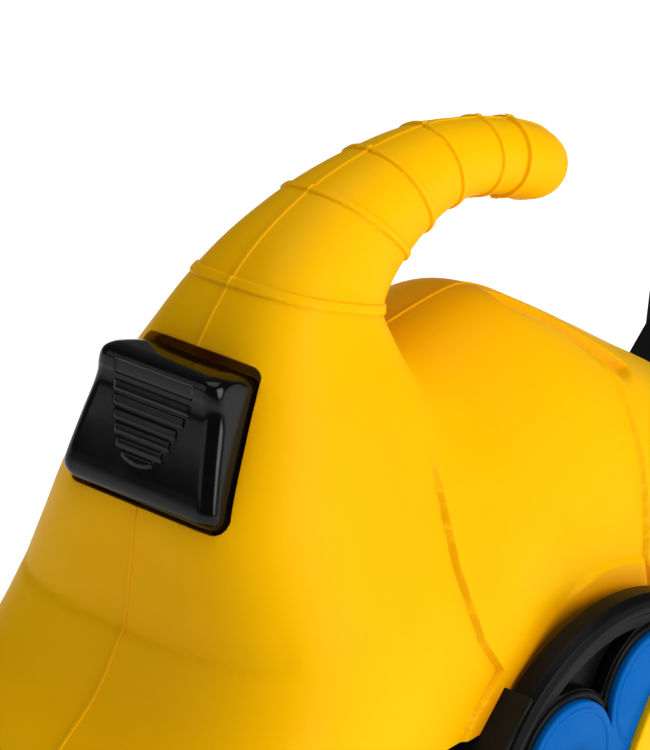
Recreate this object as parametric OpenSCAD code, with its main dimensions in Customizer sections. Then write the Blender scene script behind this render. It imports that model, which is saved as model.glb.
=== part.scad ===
// Push-along toy cement mixer: a hollow yellow tower with a hooked handle, a thumb lever,
// a tilting drum and two big wheels. X is forward, Z is up, the origin is on the ground.

/* [Body] */
// Half width of the hood between the big wheels
hood_half_w = 73; // [70:0.5:73.5]
// Wall thickness of the moulded body
wall = 3.2; // [2.4:0.2:4]
// Height of the seam between the black chassis and the yellow body
seam_z = 114; // [110:1:118]
// Width of the two grooves across the hood
groove_w = 8; // [6:0.5:10]
// Depth of the two grooves across the hood
groove_depth = 3; // [2:0.5:4]

/* [Big wheels] */
// Radius of the big wheels
wheel_r = 70; // [66:1:71]
// Width of the tyre
tyre_w = 11; // [9:1:12]
// Distance of the outer tyre face from the middle of the toy
tyre_face_y = 86.5; // [86:0.5:88]
// Diameter of the steel axle
axle_d = 10; // [8:1:12]

/* [Front wheels] */
// Radius of the front wheels
front_wheel_r = 28; // [24:1:30]
// Width of the front wheels
front_wheel_w = 16; // [10:1:18]
// Diameter of the front axle
front_axle_d = 8; // [6:1:10]

/* [Drum] */
// Largest outer radius of the drum
drum_r = 62; // [58:1:63]
// Outer radius of the drum mouth
mouth_r = 37; // [30:1:42]
// Thickness of the drum wall
drum_wall = 3; // [2.4:0.2:4]
// Height of the tilting axis above the ground
pivot_z = 150; // [148:1:152]
// Lean of the drum from upright when it is at rest, in degrees
rest_lean = 48; // [44:1:50]

/* [Lever] */
// Half width of the lever at its lower edge
lever_half_w = 32; // [28:0.5:32.5]
// Half width of the lever at its upper edge
lever_top_half_w = 23; // [20:0.5:23.5]
// Length of the lever along the tower face
lever_len = 48; // [46:0.5:48]

/* [Hidden] */

$fn = 64;
eps = 0.01;
gap = 0.3;                       // between pieces that move past each other
fit = 0.05;                      // radial clearance of a running fit
mid_x = 214.5;                   // from the tower face to the middle of the length
ground_clear = 32;               // under the chassis
gear_m = 3;                      // gear module
gear_pa = 25;                    // pressure angle
gear_backlash = 0.3;
lever_gear_teeth = 40;
tilt_gear_teeth = 12;
lever_gear_r = gear_m * lever_gear_teeth / 2;
tilt_gear_r = gear_m * tilt_gear_teeth / 2;
rack_z = pivot_z - tilt_gear_r;  // pitch line of both racks
lever_pivot = [16, rack_z + lever_gear_r];
face_tilt = atan2(27, 43);       // lean of the tower face from upright
wheel_x = 131;
pivot_x = 400;
front_axle_x = 382;
chassis_half_w = 56;
chassis_back = -38;
chassis_front = 262;
boss_places = [[70, 196], [180, 180], [236, 152]];
boss_end = 44;                   // outer end of the screw tubes
frame_y = 84.5;                  // inner face of the side frames
frame_t = 8;
yoke_y = 67;                     // inner face of the yoke arms
yoke_t = 7;
tilt_gear_t = 7;
tilt_gear_y = yoke_y + yoke_t + gap;
pin_d = 8;
shaft_d = 10;
rod_t = 8;                       // width of the pull rod across the toy
rod_h = 8;

yellow = "#f7c600";
black = "#1d1d1f";
blue = "#0b6fc4";
steel = "#b9bcc0";

// The middle of the toy's length is at the origin.
module in_place() { translate([-mid_x, 0, 0]) children(); }
module cyl_y(r, y0, y1, x = 0, z = 0) {
    translate([x, y0, z]) rotate([-90, 0, 0]) cylinder(r = r, h = y1 - y0);
}
// A flat outline in X and Z, given a thickness across the toy.
module plate_y(y0, y1) { translate([0, y1, 0]) rotate([90, 0, 0]) linear_extrude(y1 - y0) children(); }
module both_sides() {
    children();
    mirror([0, 1, 0]) children();
}
// Puts drum pieces on the tilting axis: their +Z is the drum's own axis.
module on_drum_axis() { in_place() translate([pivot_x, 0, pivot_z]) rotate([0, rest_lean, 0]) children(); }

// ---- smooth body forms ----
function signed_pow(v, p) = sign(v) * pow(abs(v), p);
function smooth(a, b, c, d, t) = 0.5 * (2 * b + (c - a) * t + (2 * a - 5 * b + 4 * c - d) * t * t
                                        + (3 * b - a - 3 * c + d) * t * t * t);
function station(list, u) = let (n = len(list) - 1, i = min(floor(u), n - 1), t = u - i)
    smooth(list[max(i - 1, 0)], list[i], list[i + 1], list[min(i + 2, n)], t);
function stations(list, steps) = [for (k = [0 : (len(list) - 1) * steps]) station(list, k / steps)];
// A closed skin through a row of rings with the same number of points.
module skin(rings) {
    n = len(rings[0]);
    last = len(rings) - 1;
    points = [for (ring = rings, p = ring) p];
    sides = [for (i = [0 : last - 1], j = [0 : n - 1]) let (k = (j + 1) % n)
        [i * n + j, i * n + k, (i + 1) * n + k, (i + 1) * n + j]];
    lids = [[for (j = [n - 1 : -1 : 0]) j], [for (j = [0 : n - 1]) last * n + j]];
    polyhedron(points, concat(sides, lids), convexity = 8);
}
ring_n = 36;
// Tower: back edge x, z, front edge x, z, half width, squareness. The list runs up the tower
// and forward along the hooked handle.
tower = [[-54, 96, 150, 96, 74, 4.2], [-42, 120, 150, 120, 73.5, 4.0],
         [-20.5, 138, 148, 136, 72.5, 3.8], [-8.8, 154.6, 143, 152, 69.2, 3.7],
         [-7.2, 158.8, 139, 158, 67.4, 3.7], [-4, 174, 127, 175, 60.5, 3.6],
         [0, 196, 110, 202, 50, 3.4], [13, 218, 97, 218, 41.5, 3.2],
         [27, 239, 94, 229, 32.5, 3.0], [40, 254, 94, 235, 27, 2.8],
         [56, 266, 101, 240, 22.8, 2.6], [80, 276, 112, 245, 19, 2.4],
         [106, 281, 124, 249.5, 16.2, 2.2], [131, 282, 138, 253, 14, 2.1],
         [154, 278.5, 152.5, 252.5, 12.8, 2.0], [174, 273, 168, 248.5, 12.2, 2.0],
         [188, 267.5, 180, 243.5, 12.3, 2.0], [196, 262, 189, 242.5, 10.4, 2.0],
         [200, 257, 196, 247, 6, 2.0]];
// Hood: x, height of the crest, half width.
hood = [[24, 200, 62], [50, 208, 70], [80, 214, 72.5], [110, 219, 73], [132, 222, 73],
        [148, 222.5, 73], [160, 218.5, 73], [176, 209.5, 73], [197, 197, 73], [219, 183, 72.5],
        [240, 170, 71], [256, 158, 69], [266, 144, 66], [271, 128, 63], [272, 96, 60]];
function tower_ring(s, inset) = let (
        d = [s[2] - s[0], s[3] - s[1]], len_xz = norm(d), u = d / len_xz,
        half = max(len_xz / 2 - inset, 1), w = max(s[4] - inset, 1),
        c = [(s[0] + s[2]) / 2, (s[1] + s[3]) / 2])
    [for (k = [0 : ring_n - 1]) let (a = -360 * k / ring_n,
        along = half * signed_pow(cos(a), 2 / s[5]), side = w * signed_pow(sin(a), 2 / s[5]))
        [c[0] + u[0] * along, side, c[1] + u[1] * along]];
function hood_ring(s, inset, lift) = let (
        base = 90, h = s[1] - base - lift, w = (s[2] - inset) * hood_half_w / 73)
    [for (k = [0 : ring_n - 1]) let (a = 180 * k / (ring_n - 1))
        [s[0], -w * signed_pow(cos(a), 2 / 2.15), base + h * signed_pow(sin(a), 2 / 2.15)]];
module tower_form(inset, first, last) {
    rows = stations([for (i = [first : last]) tower[i]], 2);
    skin([for (s = rows) tower_ring(s, inset)]);
}
module hood_form(inset, last) {
    rows = stations([for (i = [0 : last]) hood[i]], 2);
    skin([for (s = rows) hood_ring([s[0] - inset, s[1], s[2]], inset, inset * 1.15)]);
}
// A shallow groove across the hood on each side, from near the middle towards the flank.
groove_path = [[166, 6, 213.5], [178, 12, 206.5], [186, 21.5, 199], [196, 31, 188.5]];
module groove_cut(r) {
    for (s = [-1, 1], k = [0 : len(groove_path) - 2]) hull()
        for (p = [groove_path[k], groove_path[k + 1]])
            translate([p[0], s * p[1], p[2] + groove_w / 2 - groove_depth]) sphere(r = r, $fn = 16);
}
// Outline of the opening in the tower face, drawn in the plane of the face.
module face_outline(grow) {
    top = lever_len + grow * 2.5;
    polygon([[-lever_half_w - grow, -grow], [lever_half_w + grow, -grow],
             [lever_top_half_w + grow, top], [-lever_top_half_w - grow, top]]);
}
// +X across the face, +Y up the face, +Z out of the tower.
module on_face() { translate([0, 0, 196]) rotate([0, face_tilt, 0]) rotate([90, 0, -90]) children(); }

module body_outside() {
    difference() {
        union() {
            tower_form(0, 0, 18);
            hood_form(0, 14);
        }
        groove_cut(groove_w / 2);
    }
}
module body_inside() {
    difference() {
        union() {
            tower_form(wall, 0, 14);
            hood_form(wall, 13);
        }
        groove_cut(groove_w / 2 + wall);
    }
}
module body_half(side) {
    in_place() difference() {
        body_outside();
        body_inside();
        translate([-100, side > 0 ? -200 : 0, 0]) cube([400, 200, 400]);
        translate([-100, -200, 0]) cube([400, 400, seam_z]);
        on_face() translate([0, 0, -14]) linear_extrude(40) face_outline(1);
        translate([240, -rod_t / 2 - 3, rack_z - rod_h - 8]) cube([50, rod_t + 6, 24]);
        if (side > 0) for (p = boss_places) {
            cyl_y(3.2, -1, 90, p[0], p[1]);
            cyl_y(5.6, boss_end - 4, 90, p[0], p[1]);
        }
    }
    in_place() for (p = boss_places) difference() {
        cyl_y(6.5, side > 0 ? 0 : -boss_end, side > 0 ? boss_end : 0, p[0], p[1]);
        cyl_y(side > 0 ? 3.2 : 2.5, side > 0 ? -1 : -boss_end + 8, side > 0 ? 90 : 1, p[0], p[1]);
        cyl_y(5.6, boss_end - 4, 90, p[0], p[1]);
    }
}
module left_shell() { color(yellow) body_half(1); }
module right_shell() { color(yellow) body_half(-1); }

// Three screws, put in from the left, pull the body halves together along tubes across the hollow.
module shell_screws() {
    color(steel) in_place() for (p = boss_places) union() {
        cyl_y(2.5, -boss_end + 12, boss_end - 3.5, p[0], p[1]);
        cyl_y(5.2, boss_end - 4, boss_end - 1, p[0], p[1]);
    }
}

// Black tub that closes the body from below and carries the axle, the feet and the frames.
module chassis() {
    t = 4;
    color(black) in_place() difference() {
        union() {
            translate([chassis_back, -chassis_half_w, ground_clear])
                cube([chassis_front - chassis_back, chassis_half_w * 2, seam_z - ground_clear]);
            translate([chassis_front - 30, -frame_y, 38]) cube([30, frame_y * 2, 24]);
        }
        translate([chassis_back + t, -chassis_half_w + t, ground_clear + t])
            cube([chassis_front - chassis_back - 2 * t, chassis_half_w * 2 - 2 * t, seam_z]);
        cyl_y(axle_d / 2 + 3, -100, 100, wheel_x, wheel_r);
        for (x = [-20, -8], s = [-1, 1]) translate([x, s * 40, 0]) cylinder(d = 4, h = 60);
        both_sides() cyl_y(3, 70, 100, chassis_front - 15, 50);
    }
}

// Black steps beside the body, just behind each big wheel.
module side_steps() {
    side = [[85, 126], [97, 114], [97, 72], [44, 72], [44, 85]];
    color(black) in_place() both_sides() difference() {
        union() {
            plate_y(hood_half_w + 1.4, 86) polygon(side);
            plate_y(chassis_half_w, hood_half_w + 1.5) intersection() {
                polygon(side);
                translate([0, -1]) square([200, seam_z]);
            }
        }
        cyl_y(wheel_r + 0.8, 0, 100, wheel_x, wheel_r);
    }
}

module chassis_screws() {
    color(steel) in_place() for (x = [-20, -8], s = [-1, 1])
        translate([x, s * 40, ground_clear - 8]) cylinder(d = 3.8, h = 20);
}

// Rubber feet under the tail: the toy stands on them until the handle is lifted.
module rear_feet() {
    color("#2a2a2c") in_place() for (s = [-1, 1]) translate([0, s * 40, 0]) difference() {
        union() {
            translate([-30, -12, 0]) cube([32, 24, 10]);
            translate([-26, -9, 0]) cube([24, 18, ground_clear]);
        }
        for (x = [-20, -8]) translate([x, 0, 12]) cylinder(d = 4, h = 30);
    }
}

// ---- thumb lever, pull rod and tilt gears ----
function inv_angle(a) = tan(a) * 180 / PI - a;
// One involute tooth, pointing along +X, as half angles at a few radii.
module gear_tooth(teeth) {
    r = gear_m * teeth / 2;
    base_r = r * cos(gear_pa);
    tip_r = r + 0.8 * gear_m;
    root_r = r - gear_m;
    half = 90 / teeth - gear_backlash / r * 90 / PI;
    low_r = max(base_r, root_r);
    rows = [for (k = [0 : 5]) low_r + (tip_r - low_r) * k / 5];
    function flank(rho) = half + inv_angle(gear_pa) - inv_angle(acos(min(base_r / rho, 1)));
    up = concat([[root_r - 1, flank(low_r)]], [for (rho = rows) [rho, flank(rho)]]);
    down = [for (k = [len(up) - 1 : -1 : 0]) [up[k][0], -up[k][1]]];
    polygon([for (p = concat(up, down)) p[0] * [cos(p[1]), sin(p[1])]]);
}
// A row of rack teeth, pointing up, on a pitch line at zero height, with a gap at x = 0.
module rack_teeth(first, last) {
    pitch = PI * gear_m;
    half = pitch / 4 - gear_backlash / 2;
    tip = 0.8 * gear_m;
    root = gear_m;
    for (k = [first : last]) translate([(k + 0.5) * pitch, 0])
        polygon([[-half - root * tan(gear_pa), -root - 1], [-half - root * tan(gear_pa), -root],
                 [-half + tip * tan(gear_pa), tip], [half - tip * tan(gear_pa), tip],
                 [half + root * tan(gear_pa), -root], [half + root * tan(gear_pa), -root - 1]]);
}
// Teeth of a gear at steps from straight down, counted towards the front.
module hanging_teeth(teeth, first, last) {
    for (k = [first : last]) rotate(-90 + k * 360 / teeth) gear_tooth(teeth);
}

// Glossy lever: a wedge with a lip at the top and a recessed, ribbed thumb pad.
module lever() {
    pad_half = 13;
    color(black) in_place() difference() {
        intersection() {
            on_face() translate([0, 0, -8]) linear_extrude(40) face_outline(0);
            on_face() rotate([90, 0, 90]) translate([0, 0, -40]) linear_extrude(80)
                polygon([[0.6, -6], [0.2, 1.8], [2, 4], [10, 6.4], [20, 8.2], [29, 9.8], [33, 11],
                         [36, 13], [38.6, 14.2], [41.2, 14], [43.4, 11.2], [45, 7.4], [46.8, 3],
                         [47.8, 0], [47.8, -5], [40, -6]]);
        }
        on_face() for (k = [0 : 5]) translate([k - pad_half, 29 - k * 3.9, 9.2 - k * 0.7])
            cube([2 * (pad_half - k), 1, 6]);
    }
}
// The arm behind the lever: it swings on the pin and ends in a toothed arc.
module lever_arm() {
    root_r = lever_gear_r - gear_m;
    color("#c9cbd0") in_place() translate([lever_pivot[0], 0, lever_pivot[1]]) difference() {
        union() {
            cyl_y(9, -6, 6);
            plate_y(-6, 6) polygon(concat(
                [[-7, 0]], [for (a = [-102 : 3 : -54]) root_r * [cos(a), sin(a)]], [[7, 0]]));
            for (k = [-1 : 3]) plate_y(-6, 6) hanging_teeth(lever_gear_teeth, k, k);
            plate_y(-6, 6) polygon([[-8, -4], [-8.8, 4.2], [7.2, 29.6], [12, 27], [9, 0]]);
        }
        cyl_y(4 + fit, -20, 20);
    }
}
module lever_pin() {
    color(steel) in_place() cyl_y(4, -34, 34, lever_pivot[0], lever_pivot[1]);
}
// Two posts that stand on the chassis floor and hold the lever's pin.
module lever_bearing() {
    color(black) in_place() for (s = [-1, 1]) difference() {
        union() {
            translate([lever_pivot[0] - 7, s * 26 - 4, ground_clear + 4])
                cube([14, 8, lever_pivot[1] - ground_clear - 4]);
            cyl_y(7, s * 26 - 4, s * 26 + 4, lever_pivot[0], lever_pivot[1]);
        }
        cyl_y(4, -50, 50, lever_pivot[0], lever_pivot[1]);
    }
}

rod_top = rack_z - gear_m;
fork_x = 292;                    // back face of the fork's crossbar at rest
// The rod inside the body: a rack under the lever's arc and a straight bar to the fork.
module pull_rod() {
    color("#c9cbd0") in_place() union() {
        translate([-6, -rod_t / 2, rod_top - rod_h]) cube([fork_x + 6, rod_t, rod_h]);
        plate_y(-rod_t / 2, rod_t / 2) translate([lever_pivot[0], rack_z]) rack_teeth(-2, 3);
        translate([150, -9, rod_top - rod_h - 2]) cube([4, 18, rod_h + 4]);
    }
}
// The fork in front of the body: a crossbar, two arms that dip beside the yoke and two racks
// under the tilt gears.
module pull_fork() {
    y0 = tilt_gear_y;
    y1 = tilt_gear_y + tilt_gear_t;
    low = rod_top - rod_h - 25;
    rise = pivot_x - 26;
    color(black) in_place() union() {
        translate([fork_x, -y1, rod_top - rod_h]) cube([7, 2 * y1, rod_h]);
        both_sides() {
            translate([fork_x, y0, low]) cube([7, tilt_gear_t, rod_top - low]);
            translate([fork_x, y0, low]) cube([rise + 8 - fork_x, tilt_gear_t, rod_h]);
            translate([rise, y0, low]) cube([8, tilt_gear_t, rod_top - low]);
            translate([rise, y0, rod_top - rod_h]) cube([pivot_x + 40 - rise, tilt_gear_t, rod_h]);
            plate_y(y0, y1) translate([pivot_x, rack_z]) rack_teeth(-2, 3);
        }
    }
}
module rod_guides() {
    color(black) in_place() for (x = [96, 228]) difference() {
        translate([x, -14, ground_clear + 4]) cube([10, 28, rod_top + 6 - ground_clear - 4]);
        translate([x - 1, -rod_t / 2 - gap, rod_top - rod_h - gap])
            cube([12, rod_t + 2 * gap, rod_h + 2 * gap]);
    }
}
// Return spring round the rod, between the rear guide and the rod's collar.
module rod_spring() {
    wire = 1.1;
    coil_r = 8.2;
    turns = 9;
    x0 = 106 + wire;
    x1 = 150 - wire;
    per_turn = 14;
    steps = turns * per_turn;
    rings = [for (k = [0 : steps]) let (a = 360 * k / per_turn, x = x0 + (x1 - x0) * k / steps)
        [for (j = [0 : 7]) let (b = 360 * j / 8, r = coil_r + wire * cos(b))
            [x + wire * sin(b), r * cos(a), rod_top - rod_h / 2 + r * sin(a)]]];
    color(steel) in_place() skin(rings);
}

// ---- big wheels ----
module axle() {
    color(steel) in_place() cyl_y(axle_d / 2, -tyre_face_y - 3, tyre_face_y + 3, wheel_x, wheel_r);
}
module axle_bushes() {
    color("#8d9096") in_place() both_sides() difference() {
        union() {
            cyl_y(axle_d / 2 + 3, chassis_half_w - 6, chassis_half_w + 1, wheel_x, wheel_r);
            cyl_y(axle_d / 2 + 6, chassis_half_w + eps, chassis_half_w + 2, wheel_x, wheel_r);
        }
        cyl_y(axle_d / 2, 0, 100, wheel_x, wheel_r);
    }
}
// Places of the five round petals of the hub, counted round the wheel.
disc_r = 21.6;
disc_spots = [for (k = [0 : 4]) 37 * [cos(66 + 72 * k), sin(66 + 72 * k)]];
arm_spots = [for (k = [0 : 4]) 35 * [cos(63 + 72 * k), sin(63 + 72 * k)]];
// Tyre and disc in one black moulding, with pockets between the bosses round the petals.
module wheel() {
    back = tyre_face_y - tyre_w;
    color(black) in_place() translate([wheel_x, 0, wheel_r]) difference() {
        union() {
            rotate([-90, 0, 0]) rotate_extrude() polygon([
                [60, back], [wheel_r - 1, back], [wheel_r, back + 1], [wheel_r, tyre_face_y - 3.5],
                [wheel_r - 1.2, tyre_face_y - 1], [wheel_r - 3.5, tyre_face_y],
                [wheel_r - 5.5, tyre_face_y], [wheel_r - 6.5, tyre_face_y - 1.4],
                [60, tyre_face_y - 1.4]]);
            cyl_y(60.5, back + 2, tyre_face_y - 1.4);
            cyl_y(14, chassis_half_w + 2.6, back + 3);
        }
        difference() {
            cyl_y(61, tyre_face_y - 6, 100);
            cyl_y(30, 0, 100);
            for (p = disc_spots) cyl_y(disc_r + 3.4, 0, 100, p[0], p[1]);
        }
        for (p = disc_spots) cyl_y(disc_r + 0.1, tyre_face_y - 3, 100, p[0], p[1]);
        cyl_y(30, tyre_face_y - 3, 100);
        cyl_y(axle_d / 2 + fit, 0, 100);
    }
}
// Blue hub: five round petals joined in the middle, with a seat for the yellow cap.
module hub() {
    face = tyre_face_y - 3 + eps;
    color(blue) in_place() translate([wheel_x, 0, wheel_r]) difference() {
        union() {
            cyl_y(29.9, face, tyre_face_y + 1.5);
            for (p = disc_spots) cyl_y(disc_r, face, tyre_face_y + 1.5, p[0], p[1]);
        }
        cyl_y(axle_d / 2 + fit, 0, 100);
        cap_outline(tyre_face_y - 0.5, 100, 0.15);
    }
}
// The middle of the cap and its five round-ended arms, one to each petal.
module cap_outline(y0, y1, grow) {
    cyl_y(15 + grow, y0, y1);
    for (p = arm_spots) hull() {
        cyl_y(7 + grow, y0, y1);
        cyl_y(4.5 + grow, y0, y1, p[0], p[1]);
    }
}
module hub_cap() {
    color(yellow) in_place() translate([wheel_x, 0, wheel_r]) difference() {
        cap_outline(tyre_face_y - 0.45, tyre_face_y + 4.5, 0);
        cyl_y(axle_d / 2 + fit, 0, tyre_face_y + 3 + gap);
    }
}
module left_wheel() { wheel(); }
module right_wheel() { mirror([0, 1, 0]) wheel(); }
module left_hub() { hub(); }
module right_hub() { mirror([0, 1, 0]) hub(); }
module left_hub_cap() { hub_cap(); }
module right_hub_cap() { mirror([0, 1, 0]) hub_cap(); }

// ---- front frame ----
module strut(a, ra, b, rb) {
    hull() {
        translate(a) circle(r = ra, $fn = 32);
        translate(b) circle(r = rb, $fn = 32);
    }
}
module side_frame() {
    color(black) in_place() difference() {
        union() {
            plate_y(frame_y, frame_y + frame_t) {
                strut([chassis_front - 15, 50], 13, [front_axle_x, front_wheel_r], 11);
                strut([front_axle_x, front_wheel_r], 11, [pivot_x, pivot_z], 14);
                strut([front_axle_x - 34, 36], 8, [front_axle_x + 10, 84], 8);
            }
            // Ledge under the rack
            translate([pivot_x - 12, tilt_gear_y, rod_top - rod_h - 6 - gap])
                cube([24, frame_y - tilt_gear_y + 1, 6]);
        }
        cyl_y(pin_d / 2, 0, 100, pivot_x, pivot_z);
        cyl_y(front_axle_d / 2, 0, 100, front_axle_x, front_wheel_r);
        cyl_y(3, 0, 100, chassis_front - 15, 50);
    }
}
module left_frame() { side_frame(); }
module right_frame() { mirror([0, 1, 0]) side_frame(); }
module frame_bolts() {
    color(steel) in_place() both_sides() union() {
        cyl_y(2.9, 74, frame_y + frame_t, chassis_front - 15, 50);
        cyl_y(6, frame_y + frame_t, frame_y + frame_t + 3, chassis_front - 15, 50);
    }
}
module front_axle() {
    color(steel) in_place()
        cyl_y(front_axle_d / 2, -frame_y - frame_t - 2, frame_y + frame_t + 2, front_axle_x, front_wheel_r);
}
module front_wheel() {
    y0 = frame_y - 1 - front_wheel_w;
    color(black) in_place() translate([front_axle_x, 0, front_wheel_r]) difference() {
        rotate([-90, 0, 0]) rotate_extrude() polygon([[0, y0], [9, y0], [9, y0 + 3], [18, y0 + 3], [19, y0],
            [front_wheel_r - 2, y0], [front_wheel_r, y0 + 2], [front_wheel_r, y0 + front_wheel_w - 2],
            [front_wheel_r - 2, y0 + front_wheel_w], [19, y0 + front_wheel_w], [18, y0 + front_wheel_w - 3],
            [9, y0 + front_wheel_w - 3], [9, y0 + front_wheel_w], [0, y0 + front_wheel_w]]);
        cyl_y(front_axle_d / 2 + fit, 0, 200);
    }
}
module left_front_wheel() { front_wheel(); }
module right_front_wheel() { mirror([0, 1, 0]) front_wheel(); }

// ---- yoke and drum, all drawn about the tilting axis with the drum upright ----
plate_top = -57;                 // inner face of the yoke's back plate
plate_t = 8;
module yoke() {
    color(black) on_drum_axis() difference() {
        union() {
            both_sides() {
                translate([-10, yoke_y, plate_top - plate_t]) cube([20, yoke_t, -plate_top + plate_t]);
                cyl_y(12, yoke_y, yoke_y + yoke_t);
            }
            translate([-10, -yoke_y, plate_top - plate_t]) cube([20, 2 * yoke_y, plate_t]);
            translate([0, 0, plate_top - plate_t]) cylinder(r = 16, h = plate_t);
        }
        cyl_y(pin_d / 2 + fit, -100, 100);
        translate([0, 0, plate_top - plate_t - 1]) cylinder(r = 8, h = plate_t + 2);
    }
}
module tilt_gear() {
    y0 = tilt_gear_y - gap;
    color("#c9cbd0") in_place() translate([pivot_x, 0, pivot_z]) difference() {
        union() {
            cyl_y(tilt_gear_r - gear_m, y0, y0 + tilt_gear_t);
            for (k = [-1 : 3]) plate_y(y0, y0 + tilt_gear_t) hanging_teeth(tilt_gear_teeth, k, k);
        }
        cyl_y(pin_d / 2 + fit, 0, 100);
    }
}
module left_tilt_gear() { tilt_gear(); }
module right_tilt_gear() { mirror([0, 1, 0]) tilt_gear(); }
module trunnion_pins() {
    color(steel) in_place() both_sides() union() {
        cyl_y(pin_d / 2, yoke_y + 1, frame_y + frame_t, pivot_x, pivot_z);
        cyl_y(9, frame_y + frame_t, frame_y + frame_t + 4, pivot_x, pivot_z);
    }
}
module drum_shell() {
    t = drum_wall;
    color(blue) on_drum_axis() rotate_extrude($fn = 96) polygon([
        [6, -50], [36, -50], [drum_r - 2, -24], [drum_r, -18], [drum_r, 8], [drum_r - 2, 14], [mouth_r, 56],
        [mouth_r - t, 56], [drum_r - t - 2, 13], [drum_r - t, 7], [drum_r - t, -17], [drum_r - t - 2, -22],
        [35, -50 + t], [6, -50 + t]]);
}
module drum_mouth() {
    color(yellow) on_drum_axis() rotate_extrude($fn = 96) polygon([
        [mouth_r - 4, 56], [mouth_r + 2.5, 56], [mouth_r + 3, 57], [mouth_r + 3, 62], [mouth_r + 1, 64],
        [mouth_r - 3, 64], [mouth_r - 4, 63]]);
}
// Three curved mixing blades along the inside of the drum.
module drum_blades() {
    color(blue) on_drum_axis() for (k = [0 : 2]) rotate([0, 0, 120 * k]) intersection() {
        translate([-2, 38, -44]) rotate([0, 18, 0]) cube([4, 40, 72]);
        rotate_extrude($fn = 96) polygon([[30, -40], [40, -40], [drum_r - drum_wall - 3.5, -22],
            [drum_r - drum_wall - fit, -16], [drum_r - drum_wall - fit, 6], [46, 24], [38, 20], [38, -20]]);
    }
}
module drum_shaft() {
    color(steel) on_drum_axis() union() {
        translate([0, 0, -80]) cylinder(d = shaft_d, h = 36);
        translate([0, 0, -50 + drum_wall]) cylinder(r = 11, h = 4);
        translate([0, 0, -56]) cylinder(r = 9, h = 6);
    }
}
module shaft_bush() {
    color("#8d9096") on_drum_axis() difference() {
        translate([0, 0, plate_top - plate_t]) cylinder(r = 8, h = plate_t);
        translate([0, 0, plate_top - plate_t - 1]) cylinder(d = shaft_d + 2 * fit, h = plate_t + 2);
    }
}
crank_r = 22;
module crank() {
    color(yellow) on_drum_axis() difference() {
        union() {
            translate([0, 0, -74]) cylinder(r = 9, h = 8);
            translate([0, 0, -74]) linear_extrude(5) strut([0, 0], 8, [crank_r, 0], 7);
            translate([crank_r, 0, -86]) cylinder(d = 5, h = 14);
        }
        translate([0, 0, -90]) cylinder(d = shaft_d, h = 30);
    }
}
module crank_knob() {
    color(black) on_drum_axis() translate([crank_r, 0, 0]) difference() {
        rotate_extrude() polygon([[0, -87], [5, -87], [6.5, -85], [6, -79], [6.5, -75.5],
                                  [5.5, -74.4], [0, -74.4]]);
        translate([0, 0, -86]) cylinder(d = 5 + 2 * fit, h = 14);
    }
}

left_shell();
right_shell();
shell_screws();
chassis();
side_steps();
chassis_screws();
rear_feet();
lever();
lever_arm();
lever_pin();
lever_bearing();
pull_rod();
pull_fork();
rod_guides();
rod_spring();
axle();
axle_bushes();
left_wheel();
right_wheel();
left_hub();
right_hub();
left_hub_cap();
right_hub_cap();
left_frame();
right_frame();
frame_bolts();
front_axle();
left_front_wheel();
right_front_wheel();
yoke();
left_tilt_gear();
right_tilt_gear();
trunnion_pins();
drum_shell();
drum_mouth();
drum_blades();
drum_shaft();
shaft_bush();
crank();
crank_knob();
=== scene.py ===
import math

import bmesh
import bpy
import numpy as np
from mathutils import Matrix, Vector
from mathutils.bvhtree import BVHTree


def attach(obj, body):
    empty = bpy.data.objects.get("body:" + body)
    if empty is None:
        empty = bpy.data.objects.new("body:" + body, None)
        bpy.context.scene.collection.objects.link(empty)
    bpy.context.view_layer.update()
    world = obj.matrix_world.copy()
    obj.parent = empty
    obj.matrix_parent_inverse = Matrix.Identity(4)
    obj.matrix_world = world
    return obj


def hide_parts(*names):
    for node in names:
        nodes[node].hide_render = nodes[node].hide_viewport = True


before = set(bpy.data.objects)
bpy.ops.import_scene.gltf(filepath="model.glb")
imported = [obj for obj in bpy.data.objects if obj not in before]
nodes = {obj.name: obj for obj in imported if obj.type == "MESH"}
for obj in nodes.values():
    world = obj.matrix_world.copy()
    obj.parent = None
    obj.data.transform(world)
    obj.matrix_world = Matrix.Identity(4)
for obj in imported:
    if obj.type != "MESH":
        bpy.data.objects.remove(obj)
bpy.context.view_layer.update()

# ---- Body halves ----
# Hollow yellow polyethylene moulding in a left and a right half that meet on a fine raised
# parting line. Tower, hooked handle and hood flow into each other with soft fillets. The side
# has a stepped panel and a raised pad over the wheel, and the hood has a groove down its middle.
MM = 0.001
MID = 214.5                       # tower face to the middle of the toy, in millimetres
VOXEL = 1.7
WALL = 3.2
SEAM_Z = 114
FACE_TILT = math.atan2(27, 43)
# back x, z, front x, z, half width, squareness
TOWER = [(-54, 96, 150, 96, 74, 4.2), (-42, 120, 150, 120, 73.5, 4.0), (-20.5, 138, 148, 136, 72.5, 3.8),
         (-8.8, 154.6, 143, 152, 69.2, 3.7), (-7.2, 158.8, 139, 158, 67.4, 3.7), (-4, 174, 127, 175, 60.5, 3.6),
         (0, 196, 110, 202, 50, 3.4), (13, 218, 97, 218, 41.5, 3.2), (27, 239, 94, 229, 32.5, 3.0),
         (40, 254, 94, 235, 27, 2.8), (56, 266, 101, 240, 22.8, 2.6), (80, 276, 112, 245, 19, 2.4),
         (106, 281, 124, 249.5, 16.2, 2.2), (131, 282, 138, 253, 14, 2.1), (154, 278.5, 152.5, 252.5, 12.8, 2.0),
         (174, 273, 168, 248.5, 12.2, 2.0), (188, 267.5, 180, 243.5, 12.3, 2.0), (196, 262, 189, 242.5, 10.4, 2.0),
         (200, 257, 196, 247, 6, 2.0)]
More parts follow.
